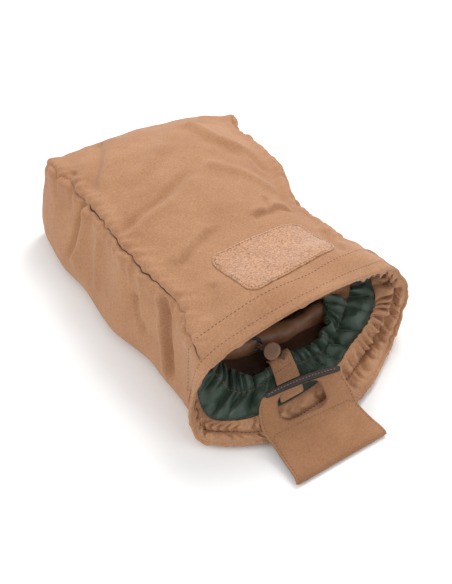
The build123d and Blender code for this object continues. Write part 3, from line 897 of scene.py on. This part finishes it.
def shaped_shell():
    """The shell with its puffed panels, seam puckers, creases and gathered lip."""
    away = bumps(shell, (70, 2.0, 1.8), (30, 12.0, 0.9), (14, 22.0, 0.35))
    away = away * smooth_step(depth, 0, 14)
    away = away + seam_shape(left_gap, 1.0, 1.0)
    away = away + seam_shape(right_gap, 5.0, 0.7) * smooth_step(depth, 28, 52)
    away = away + crease_height(shell)
    away = away - 2.0 * bell(depth[-1] - depth, 2.5)
    away = away * smooth_step(shell[..., 2], 1.0, 14.0)
    away = away + lip_wave(shell[0]) * 2.2 * np.exp(-depth / 11.0)
    across = unit(np.roll(shell, -1, 1) - np.roll(shell, 1, 1))
    pull = seam_wander(left_gap, 4.0) + seam_wander(right_gap, 6.0)
    return shell + outward * away[..., None] + across * (pull * smooth_step(depth, 4, 20))[..., None]


shell_surface = shaped_shell()
shell_skin = settled(shell_surface)
turned_edge = shell_surface[:1] - outward[:1] * 2.2 + unit(shell[1:2] - shell[:1]) * 0.5
shell_rows = np.vstack([turned_edge, shell_surface])
shell_object = grid_object("BagShell", shell_rows, shell_cloth, True, np.vstack([outward[:1], outward]))
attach(shell_object, "bag")
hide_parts("top_panel", "bottom_panel", "left_side_panel", "right_side_panel")


def make_seam_shadow_cord(name, column, first_row):
    """A dark cord of painted shadow at the bottom of a top seam, standing in for the groove's shade, thin at
    its ends.
    """
    line = shell_skin[first_row:-1, column] + outward[first_row:-1, column] * 2.2
    line = resampled(line, 420)
    share = np.linspace(0, 1, len(line))
    thickness = 0.3 + 1.1 * smooth_step(share, 0.02, 0.2) * (1 - 0.85 * smooth_step(share, 0.55, 0.85))
    thread = tube(name, line, thickness, seam_shadow_cord)
    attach(thread, "bag")


make_seam_shadow_cord("SeamShadowCordLeft", 0, 4)
make_seam_shadow_cord("SeamShadowCordRight", right_seam_column, 20)


def make_end_panel():
    """The closed far end: the last ring, its puckers soon smoothed out, drawn in to a
    bulged middle."""
    rim, plain_rim = shell_surface[-1], shell[-1]
    middle = plain_rim.mean(0)
    panel_bulge, pucker_fade = 9, 14
    shares = np.linspace(0, 1, 22)
    rows = []
    for t in shares:
        ring = middle + (plain_rim - middle) * (1 - t) + (rim - plain_rim) * math.exp(-pucker_fade * t)
        ring[:, 1] += panel_bulge * math.sin(math.pi / 2 * t) ** 0.7
        rows.append(ring)
    grid = np.array(rows)
    lengthened = grid[1:] * np.array((1.0, 0.2, 1.0))
    puckers = bumps(lengthened, (11, 15.0, 1.0)) * np.exp(-shares[1:, None] * 5) * 2.2
    grid[1:, :, 1] += bumps(grid[1:], (45, 9.0, 2.4)) + puckers
    panel = grid_object("EndPanel", grid, shell_cloth, True, np.full(grid.shape, (0.0, 1.0, 0.0)))
    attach(panel, "bag")
    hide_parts("end_panel")


make_end_panel()


def capped(grid, shares):
    """The grid with its last ring drawn in to its middle, ring by ring, as a closed end."""
    middle = grid[-1].mean(0)
    return np.vstack([grid] + [[middle + (grid[-1] - middle) * share] for share in shares])


def make_batting():
    """Insulation between the outer cloth and the pouch, just inside the outer cloth."""
    outer = shell_surface[12:-6]
    middles = outer.mean(1, keepdims=True)
    inner = middles + (outer - middles) * np.array((0.90, 1.0, 0.84))
    batting = grid_object("Batting", capped(inner, (0.8, 0.5, 0.2, 0.02)), batting_fibre)
    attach(batting, "bag")
    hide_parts("insulation_wrap", "insulation_end")


make_batting()


# ---- gathered mouth --------------------------------------------------------------------
# The mouth's rings, from the lip inwards, have the same fifteen key points as the bag's:
# the facing's stitching, the seam from facing to cuff, the casing's stitching and the edge.
hem_span = 30
middle_ring = (
    (-24, -162, 14), (29, -151, 13), (57, -138, 13), (87, -124, 18), (108, -114, 33),
    (124, -102, 50), (112, -100, 75), (70, -105, 95), (8, -113, 110), (-50, -112, 98),
    (-104, -108, 72), (-122, -110, 34), (-119, -126, 14), (-98, -143, 13), (-72, -159, 14),
)
facing_seam_ring = (
    (-22, -149, 24), (23, -143, 30), (46, -133, 35), (71, -124, 40), (84, -117, 45),
    (94, -109, 50), (104, -75, 70), (66, -92, 90), (6, -98, 104), (-46, -98, 93),
    (-98, -92, 62), (-109, -104, 36), (-109, -123, 20), (-90, -143, 24), (-70, -149, 25),
)
casing_ring = (
    (-22, -121, 30), (15, -123, 30), (36, -114, 31), (52, -106, 36), (66, -97, 48),
    (73, -90, 48), (84, -76, 64), (50, -75, 84), (2, -78, 96), (-40, -80, 86),
    (-88, -85, 55), (-86, -96, 42), (-80, -114, 30), (-65, -125, 30), (-47, -124, 31),
)
cuff_edge_ring = (
    (-20, -107, 36), (12, -113, 37), (31, -107, 40), (45, -92, 45), (49, -84, 51),
    (53, -74, 58), (58, -68, 71), (44, -62, 80), (0, -62, 88), (-36, -64, 80),
    (-76, -80, 52), (-76, -84, 42), (-70, -96, 37), (-60, -112, 37), (-45, -116, 37),
)


def hem_columns(keys):
    """Points round one of the mouth's rings, the same number between each two keys."""
    keys = from_left_seam(keys)
    pieces = []
    for i, span in enumerate(closed_spans(keys)):
        line = np.vstack([span, keys[(i + 1) % len(keys)][None]])
        pieces.append(resampled(line, hem_span + 1)[:-1])
    return np.vstack(pieces)


def inward_normals(grid):
    """Normals of a mouth surface, on the side that faces the middle of the mouth."""
    return turned_towards(grid_normals(grid), grid.mean((0, 1)) - grid)


def rows_between(low, high, count, puff):
    """Flat rows from one ring to the next, last ring left out, and the height of the
    rounded puff at each."""
    t = np.linspace(0, 1, count, endpoint=False)[:, None, None]
    return low + (high - low) * t, puff * np.sin(np.pi * t[..., 0]) ** 0.7 * np.ones(low.shape[0])


lip_line = hem_columns(lip_ring)
hem_distance = distance_along(lip_line)
shell_lip_inward = unit(shell[1] - shell[0])
lip_inward = unit(np.stack(
    [np.interp(hem_distance, distance_along(shell[0]), shell_lip_inward[:, k]) for k in range(3)], 1
))
lip_outward = turned_towards(unit(np.cross(ring_tangent(lip_line), lip_inward)), lip_line - lip_line.mean(0))
lip_gathers = lip_wave(lip_line)
lip_thickness = 3.4


# Gathers of the facing on either side of its stitching: the row where they are highest,
# counted from the stitching, how many rows they spread over, their height in mm, and their
# layers of wavelength, seed and share of that height.
facing_gathers = (
    (-4.5, 2.9, 8.2, ((15.0, 3.0, 0.8), (9.0, 7.0, 0.3))),
    (6, 4.2, 9.6, ((13.0, 11.0, 0.85), (8.0, 5.0, 0.25))),
)


def facing_strength():
    """How strong the facing's gathers are round the mouth: most at the right, least on top."""
    at_right = smooth_step(lip_line[:, 0], 40, 100)
    at_bottom = 1 - smooth_step(lip_line[:, 2], 20, 60)
    at_top = smooth_step(lip_line[:, 2], 84, 104)
    return (0.25 + 0.75 * np.maximum(at_right, 0.3 * at_bottom)) * (1 - 0.6 * at_top)


def facing_grid():
    """The brown facing, from just under the lip's edge, over its roll, to the green cuff."""
    roll = [lip_line + lip_inward * 4.0 - lip_outward * 0.8]
    for angle in range(90, 271, 30):
        inward = 1.1 + lip_thickness / 2 * math.cos(math.radians(angle))
        sunk = 0.3 + lip_thickness / 2 * (1 - math.sin(math.radians(angle)))
        roll.append(lip_line + lip_inward * inward - lip_outward * sunk)
    stitch_line = hem_columns(middle_ring)
    seam_line = hem_columns(facing_seam_ring)
    outer, outer_puff = rows_between(roll[-1], stitch_line, 10, 3.4)
    inner, inner_puff = rows_between(stitch_line, seam_line, 12, 2.8)
    grid = np.vstack([roll[:-1], outer, inner, [seam_line]])
    flat_ring = np.zeros((1, len(lip_line)))
    puff = np.vstack([np.repeat(flat_ring, len(roll) - 1, axis=0), outer_puff, inner_puff, flat_ring])
    normals = inward_normals(grid)
    grid = grid + normals * puff[..., None]
    stitch_row_index = len(roll) - 1 + len(outer)
    place = np.arange(len(grid))[:, None]
    leaning = [hem_distance + 2.2 * math.sin(0.62 * row) for row in range(len(grid))]
    wave, near_tops = 0, 0
    for top, spread, height, layers in facing_gathers:
        near_top = bell(place - (stitch_row_index + top), spread)
        wave = wave + near_top * np.array([gathers(along, *layers) for along in leaning]) * height
        near_tops = near_tops + near_top
    uneven = bumps(grid, (11, 41.0, 2.2)) * near_tops
    grid = grid + normals * (wave * facing_strength() + uneven)[..., None]
    ripple = bell(place - 3.0, 5.0) * lip_gathers * 2.2
    grid = grid + lip_outward * ripple[..., None]
    return grid, inward_normals(grid), stitch_row_index


facing, facing_normals, facing_stitch_row = facing_grid()
facing_object = grid_object("MouthFacing", facing, facing_cloth, True, facing_normals)
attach(facing_object, "bag")
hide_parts("mouth_facing")


# The cuff is flattened along this path, where the placket lies.
placket_path = (
    (-40, -162, 20), (-35, -150, 26), (-29, -135, 31), (-25, -120, 36), (-23, -110, 37), (-22, -96, 37),
)


def cuff_grid():
    """The green cuff, gathered more and more towards its elastic edge."""
    seam_line = hem_columns(facing_seam_ring)
    casing_line = hem_columns(casing_ring)
    edge_line = hem_columns(cuff_edge_ring)
    wide, wide_puff = rows_between(seam_line, casing_line, 20, 0.0)
    casing, casing_puff = rows_between(casing_line, edge_line, 11, 2.6)
    grid = np.vstack([wide, casing, [edge_line]])
    puff = np.vstack([wide_puff, casing_puff, np.zeros((1, len(edge_line)))])
    normals = inward_normals(grid)
    grid = grid + normals * puff[..., None]
    rows, casing_row = len(grid), len(wide)
    place = np.arange(rows)[:, None] / (rows - 1)
    seam_distance = distance_along(seam_line)
    broad = gathers(seam_distance, (19.0, 21.0, 1.0))
    fine = gathers(seam_distance, (11.5, 27.0, 1.0))
    wave = 3.8 * smooth_step(place, 0.02, 0.4) * broad + 2.6 * smooth_step(place, 0.35, 0.75) * fine
    wave = wave + bumps(grid, (19, 31.0, 2.0)) * smooth_step(place, 0.04, 0.3) + bumps(grid, (8, 33.0, 1.0))
    wave = wave * (1 - 0.85 * near_line(grid, placket_path, 17))
    pinch = 1 - 0.45 * bell(place - casing_row / (rows - 1), 0.05)
    grid = grid + normals * (wave * pinch)[..., None]
    back = -inward_normals(grid)
    tail = [grid[-1] + back[-1] * 2.0 + unit(grid[-1] - grid[-2]) * 1.0, grid[-1] + back[-1] * 5.0]
    grid = np.vstack([grid, tail])
    return grid, inward_normals(grid), casing_row


def make_elastic(name, grid, normals, tape_rows, behind, solid):
    """A hidden elastic tape that lies behind some rows of a gathered surface."""
    every_other = slice(*tape_rows, 2)
    rows = grid[every_other] - normals[every_other] * behind
    tape = grid_object(name, rows, elastic_web)
    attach(tape, "bag")
    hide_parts(solid)


cuff, cuff_normals, cuff_stitch_row = cuff_grid()
facing_tape_rows = (facing_stitch_row - 6, facing_stitch_row - 1)
cuff_tape_rows = (cuff_stitch_row + 2, cuff_stitch_row + 9)
make_elastic("MouthElastic", facing, facing_normals, facing_tape_rows, 2.5, "mouth_elastic")
make_elastic("CuffElastic", cuff, cuff_normals, cuff_tape_rows, 2.0, "cuff_elastic")
cuff_object = grid_object("LiningCuff", cuff, green_lining, True, cuff_normals)
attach(cuff_object, "bag")
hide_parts("lining_cuff")


# ---- pouch and its drawcord tunnel -----------------------------------------------------
def oval(half_width, half_height, powers, root, count):
    """Points round an oval with flattened sides, squarer with higher powers."""
    loop = []
    for angle in circle_angles(count):
        x, y = math.cos(angle), math.sin(angle)
        size = (abs(x) ** powers[0] + abs(y) ** powers[1]) ** (-1 / root)
        loop.append((half_width * x * size, half_height * y * size))
    return loop


def pouch_ring(half_width, half_height, y, centre_z, count=120):
    """An oval ring round the pouch, upright across the bag."""
    loop = oval(half_width, half_height, (2.6, 2.6), 2.6, count)
    return np.array([(x, y, centre_z + z) for x, z in loop])


eyelet_foot = np.array((-32.0, -80.0, 35.0))


def make_pouch():
    """The pouch, with its cloth carried on from under the tunnel out to the back of the cuff; its dark colour
    is painted shade of the mouth's inside.
    """
    stations = ((-74, 70, 19, 55), (-58, 74, 21, 55), (-30, 80, 28, 53), (0, 92, 35, 50),
                (60, 97, 37, 50), (190, 92, 33, 47), (212, 80, 26, 46))
    rings = np.array([pouch_ring(w, h, y, z) for y, w, h, z in stations])
    grid = lofted(rings, 4.0)
    normals = turned_towards(grid_normals(grid), grid - grid.mean(1, keepdims=True))
    grid = grid - normals * (1.0 + bumps(grid, (34, 5.0, 2.2), (13, 6.0, 0.8)))[..., None]
    under = pouch_ring(76, 25, -84, 55)
    cuff_back = pouch_ring(88, 34, 0, 58)
    cuff_back[:, 1] = -110 + 0.62 * (cuff_back[:, 2] - 24)
    apron = np.array([cuff_back + (under - cuff_back) * t for t in np.linspace(0, 1, 14)])
    apron = apron + inward_normals(apron) * bumps(apron, (24, 14.0, 2.6))[..., None]
    pouch_grid = np.vstack([apron, capped(grid, (0.75, 0.4, 0.05))])
    pouch = grid_object("InnerPouch", pouch_grid, pouch_cloth_painted_shade, subdivided=True)
    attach(pouch, "bag")
    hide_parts("inner_pouch")


def make_tunnel():
    """The rolled drawcord tunnel round the pouch's mouth."""
    loop = pouch_ring(72, 20, -80, 55, 150)
    backward = np.array((0.0, 1.0, 0.0))
    outer = turned_towards(unit(np.cross(ring_tangent(loop), backward)), loop - loop.mean(0))
    tunnel_radius = 11.0
    rows = []
    for angle in circle_angles(26):
        direction = outer * math.cos(angle) + backward * math.sin(angle)
        ring = loop + direction * tunnel_radius
        near_eyelet = bell(np.linalg.norm(ring - eyelet_foot, axis=1), 16)
        crumple = bumps(ring, (30, 8.0, 3.2), (13, 4.0, 1.2)) * (1 - near_eyelet)
        rows.append(ring + direction * crumple[:, None])
    rows.append(rows[0])
    tunnel = grid_object("DrawcordTunnel", np.array(rows), coated_cloth, subdivided=True)
    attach(tunnel, "bag")
    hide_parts("drawcord_tunnel")


make_pouch()
make_tunnel()


# ---- placket, patch and flap -----------------------------------------------------------
def ruled_place(left, right, width, length, lift=0.0):
    """A map from a flat strip to space: left and right are the strip's long edges."""
    count = 60
    left_line = curve_through(left, count)
    right_line = curve_through(right, count)

    def point_at(a, b):
        share = np.clip(b / length, 0, 1) * (count - 1)
        row = min(int(share), count - 2)
        rest = share - row
        low = left_line[row] * (1 - rest) + left_line[row + 1] * rest
        high = right_line[row] * (1 - rest) + right_line[row + 1] * rest
        return low + (high - low) * (a / width + 0.5)

    def place(a, b, height):
        centre = point_at(a, b)
        along = point_at(a, min(b + 0.8, length)) - point_at(a, max(b - 0.8, 0))
        across = point_at(a + 0.8, b) - point_at(a - 0.8, b)
        return centre + unit(np.cross(across, along)) * (height + lift)

    return place


def strip_line(place, points, height, count=200):
    """A line on a mapped strip with its normals, for a row of stitches."""
    flat = resampled(np.array(points, float), count)
    line = np.array([place(a, b, height) for a, b in flat])
    above = np.array([place(a, b, height + 1.0) for a, b in flat])
    return line, above - line


def make_placket():
    width, length = 25.0, 46.0
    left = (
        (-48, -150, 25.5), (-42, -135, 31), (-38, -122, 36),
        (-36, -114, 37.8), (-35, -110, 36), (-35, -108, 31.5),
    )
    right = (
        (-22, -150, 26.5), (-16, -134, 32.5), (-13, -120, 37),
        (-11, -111, 39), (-10, -107, 37), (-10, -105, 32),
    )
    place = ruled_place(left, right, width, length, 1.2)
    outline = rounded_rectangle(width, length - 1, 1.5, 2.0, (0, length / 2))
    strap = plate("Placket", outline, place, 1.8, facing_cloth, spacing=2.0, edge=0.9)
    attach(strap, "bag")
    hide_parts("cuff_placket")
    line, normals = strip_line(place, ((-11, 27), (11, 27)), 0.95)
    add_stitches("PlacketStitches", line, normals, brown_thread, 1.9, 1.1, 0.32)


def add_stitches(
    name, line, normals, material, length, gap, radius, body="bag",
):
    """A row of stitches in the given material that rides on a body."""
    row = stitch_row(name, line, normals, material, length, gap, radius)
    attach(row, body)


make_placket()
add_stitches(
    "FacingStitches", settled(facing)[facing_stitch_row] + facing_normals[facing_stitch_row] * 0.25,
    facing_normals[facing_stitch_row], brown_thread, 2.4, 1.4, 0.36,
)
add_stitches(
    "CuffStitches", settled(cuff)[cuff_stitch_row] + cuff_normals[cuff_stitch_row] * 0.2,
    cuff_normals[cuff_stitch_row], orange_thread, 3.0, 2.0, 0.4,
)
add_stitches(
    "CuffSeamStitches", settled(cuff)[1] + cuff_normals[1] * 0.4,
    cuff_normals[1], brown_thread, 1.6, 1.0, 0.45,
)


def surface_line(distance, first, last):
    """A line across the shell at a distance behind the lip, with its normals."""
    line, normals = [], []
    for c in range(first, last):
        column = c % column_count
        line.append(value_at(distance, depth[:, column], shell_skin[:, column]))
        normals.append(value_at(distance, depth[:, column], outward[:, column]))
    return np.array(line), np.array(normals)


for hem_name, hem_offset, hem_thread in (("HemStitchesFront", 9.6, 0.28), ("HemStitchesBack", 28.6, 0.36)):
    hem_line, hem_normals = surface_line(hem_offset, right_seam_column - 20, column_count + 26)
    add_stitches(hem_name, hem_line, hem_normals, brown_thread, 2.7, 1.3, hem_thread)

shell_tree = BVHTree.FromPolygons(
    [Vector(p) for p in shell_skin.reshape(-1, 3)], grid_faces(row_count, column_count)
)


def make_patch():
    """The loop patch, laid on the top by dropping each of its points onto the shell."""
    width, length, corner_radius = 104.0, 62.0, 12.0
    loop_height, loop_spacing, above_all = 0.35, 1.9, 200.0
    corners = np.array(((-43.0, -93.0), (64.0, -80.5), (62.0, -17.5), (-45.0, -18.0)))

    def place(a, b, height):
        across, along = a / width + 0.5, b / length + 0.5
        near = corners[0] * (1 - across) + corners[1] * across
        far = corners[3] * (1 - across) + corners[2] * across
        x, y = near * (1 - along) + far * along
        hit, normal = shell_tree.ray_cast(Vector((x, y, above_all)), Vector((0, 0, -1)))[:2]
        pile = 0.0
        if height > 0:
            pile = loop_height * noise.noise(Vector((x / loop_spacing, y / loop_spacing, 4.0)))
        up = normal if normal.z > 0 else -normal
        return np.array(hit + up * (0.5 + height + pile))

    outline = rounded_rectangle(width, length, corner_radius, 2.0)
    patch = plate("LoopPatch", outline, place, 1.8, loop_pile, spacing=1.1, edge=0.8)
    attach(patch, "bag")
    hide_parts("loop_patch")
    edge = rounded_rectangle(width - 5, length - 4.4, corner_radius - 2, 1.0)
    line, normals = strip_line(place, np.vstack([edge, edge[:1]]), 1.1, 600)
    add_stitches("PatchStitches", line, normals, orange_thread, 2.2, 1.2, 0.3)


make_patch()


flap_width, flap_length = 100.0, 90.0
fold_y = -215.5
flap_left = (
    (-76, fold_y + 2.6, 1.6), (-76, fold_y, 3.4), (-75, fold_y + 2.6, 5.4), (-74, -197, 7.5),
    (-74, -179, 11.5), (-76, -161, 20.5), (-72, -150, 33.5), (-66, -146, 43),
)
flap_right = (
    (26, fold_y + 2.6, 1.6), (26, fold_y, 3.4), (26, fold_y + 2.6, 5.4), (22, -198, 9.5), (18, -182, 16.5),
    (17, -171, 27.5), (14, -160, 38.5), (13.5, -157, 43.5),
)
flap_place = ruled_place(flap_left, flap_right, flap_width, flap_length)


def make_flap_front():
    outline = rounded_rectangle(flap_width, flap_length, 2.0, 2.5, (0, flap_length / 2))
    slot_hole = rounded_rectangle(52, 30, 11, 2.0, (-3, 74))[::-1]
    front = plate("FlapFront", outline, flap_place, 2.2, flap_cloth_painted_shade, spacing=3.0, holes=[slot_hole])
    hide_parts("flap_front")
    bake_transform(front)
    for name, a in (("FlapStitchesLeft", -47.5), ("FlapStitchesRight", 47.5)):
        line, normals = strip_line(flap_place, ((a, 6), (a, 84)), 1.15)
        add_stitches(name, line, normals, brown_thread, 2.0, 1.2, 0.3, "flap_tip")
    tape_edge = ((-46, 44), (-45, 49), (-41, 52), (41, 55), (45, 53), (46, 48))
    line, normals = strip_line(flap_place, tape_edge, 1.15, 400)
    add_stitches("TapeStitches", line, normals, brown_thread, 1.9, 1.2, 0.26, "flap_tip")


def make_hook_tape():
    place = ruled_place(flap_left, flap_right, flap_width, flap_length, -2.0)
    outline = rounded_rectangle(97, 46, 3.0, 2.5, (-1, 29))
    tape = plate("HookTapePad", outline, place, 1.6, hook_tape, spacing=3.0, edge=0.7)
    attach(tape, "flap_tip")
    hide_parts("flap_hook_tape")


def make_flap_back():
    """The root of the flap: one layer of cloth lying under the bag's lip."""
    left = ((-60, -150, 1.4), (-64, -170, 1.3), (-69, -195, 1.3), (-75, fold_y + 1.5, 1.6))
    right = ((26, -150, 1.4), (26, -170, 1.3), (26, -195, 1.3), (26, fold_y + 1.5, 1.6))
    width, length = 100.0, -fold_y - 150
    place = ruled_place(left, right, width, length)
    outline = rounded_rectangle(width, length, 1.5, 2.5, (0, length / 2))
    back = plate("FlapBack", outline, place, 1.5, flap_cloth_painted_shade, spacing=3.0, edge=0.7)
    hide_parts("flap_back")
    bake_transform(back)


def make_frayed_threads():
    """Loose thread ends along the flap's fold."""
    chunks = []
    thread_count, reach = 26, 47
    for k in range(thread_count):
        step = (k + 0.8 * noise.noise(Vector((k * 1.7, 0, 0)))) / (thread_count - 1)
        a = -reach + 2 * reach * step
        start = flap_place(a, 5.0 + noise.noise(Vector((k, 3.1, 0))), 1.0)
        lean = noise.noise(Vector((k * 0.9, 5.0, 1.0)))
        length = 2.2 + 2.6 * abs(noise.noise(Vector((k * 1.3, 9.0, 2.0))))
        end = start + np.array((2.0 * lean, -0.8, 0.25)) * length / 2
        normal = np.array((0.0, -0.4, 0.9))
        chunks.append(stitch_chunk(start, end, normal, 0.16))
    threads = joined("FrayedThreads", chunks, tan_thread)
    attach(threads, "flap_tip")


make_flap_front()
make_hook_tape()
make_flap_back()
make_frayed_threads()


def make_flap_bar():
    """The dark leather strip across the top of the flap."""
    half_length = 39
    outline = oval(half_length, 3.9, (6, 2.5), 4, 60)
    left, right = np.array((-63.0, -147.0, 44.5)), np.array((13.0, -157.0, 45.0))
    up = unit(np.array((0.1, 0.55, 0.83)))

    def place(a, b, height):
        share = a / (2 * half_length) + 0.5
        centre = left * (1 - share) + right * share
        arch = 3.0 * (1 - (2 * share - 1) ** 2)
        normal = unit(np.cross(right - left, up))
        return centre + up * (b + arch) + normal * height

    bar = plate("FlapBar", outline, place, 3.0, dark_leather, spacing=1.6, edge=1.3)
    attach(bar, "flap_tip")
    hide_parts("flap_bar")
    line, normals = strip_line(place, ((-37, 1.0), (37, 1.0)), 1.5)
    add_stitches("BarStitches", line, normals, tan_thread, 2.0, 1.2, 0.3, "flap_tip")


make_flap_bar()


# ---- finishes of the CAD pieces --------------------------------------------------------
def finish_nodes():
    finishes = {
        black_metal: ("eyelet", "eyelet_washer"),
        lock_plastic: ("cordlock_barrel", "cordlock_plunger"),
        braided_cord: ("drawcord", "drawcord_knot"),
    }
    for material, names in finishes.items():
        for name in names:
            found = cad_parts[name]
            for solid in found if isinstance(found, list) else [found]:
                for slot in solid.material_slots:
                    slot.material = material


finish_nodes()
